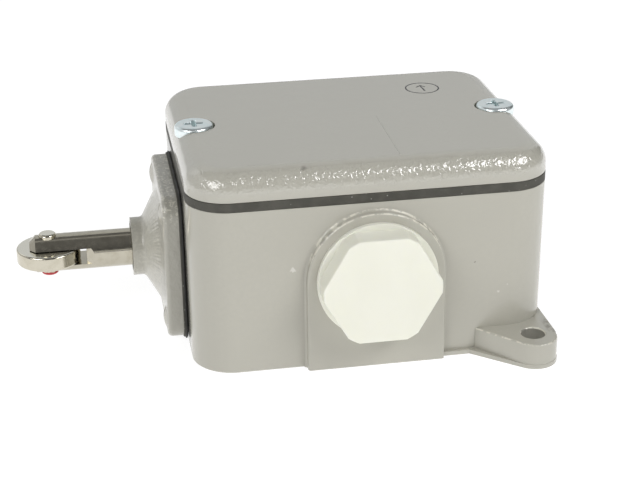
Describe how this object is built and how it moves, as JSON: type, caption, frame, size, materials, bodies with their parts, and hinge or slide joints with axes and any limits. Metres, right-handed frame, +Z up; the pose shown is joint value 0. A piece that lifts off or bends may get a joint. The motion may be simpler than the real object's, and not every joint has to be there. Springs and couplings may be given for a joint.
{
  "type": "roller plunger limit switch",
  "caption": "Roller plunger limit switch in a grey cast housing with a bolted cover, a side actuator head, a plugged cable entry and diagonal mounting lugs.",
  "frame": {"origin": "midway between the mounting holes, on the mounting face", "axes": "+X along the plunger's travel into the housing, so the roller is at -X; the cable entry faces -Y; +Z up from the mounting face to the cover"},
  "size_m": [0.1229, 0.0906, 0.0496],
  "materials": {
    "grey_paint": "satin",
    "black_rubber": "matte",
    "zinc_steel": "satin",
    "polished_steel": "polished",
    "spring_steel": "satin",
    "bronze": "satin",
    "white_plastic": "satin",
    "brown_moulding": "matte",
    "cream_moulding": "matte",
    "contact_brass": "satin",
    "contact_silver": "satin"
  },
  "bodies": {
    "housing": {"body_housing": "grey_paint", "cover": "grey_paint", "cover_gasket": "black_rubber", "cover_screws": "zinc_steel", "actuator_head": "grey_paint", "head_gasket": "black_rubber", "head_screws": "zinc_steel", "guide_bush": "bronze", "wiper_ring": "black_rubber", "return_spring": "spring_steel", "cable_plug": "white_plastic", "plug_seal_ring": "black_rubber", "contact_block": "brown_moulding", "block_screws": "zinc_steel", "nc_terminals": "contact_brass", "no_terminals": "contact_brass", "fixed_tips": "contact_silver", "terminal_clamps": "zinc_steel", "terminal_screws": "zinc_steel", "earth_clamp": "zinc_steel", "earth_screw": "zinc_steel"},
    "plunger": {"plunger": "polished_steel", "roller_pin": "polished_steel", "stop_ring": "spring_steel", "spring_seat": "zinc_steel", "contact_carrier": "cream_moulding", "nc_bridge": "contact_brass", "no_bridge": "contact_brass", "bridge_tips": "contact_silver", "bridge_springs": "spring_steel"},
    "roller": {"roller": "polished_steel"}
  },
  "joints": [
    {"name": "plunger_slide", "type": "slide", "parent": "housing", "child": "plunger", "axis": [1, 0, 0], "range_m": [0, 0.005], "stiffness_N_per_m": 1500, "springref_m": -0.006, "deforming": ["return_spring"]},
    {"name": "roller_spin", "type": "hinge", "parent": "plunger", "child": "roller", "pos_m": [-0.07335, 0, 0.0192], "axis": [0, 0, 1], "continuous": true}
  ]
}
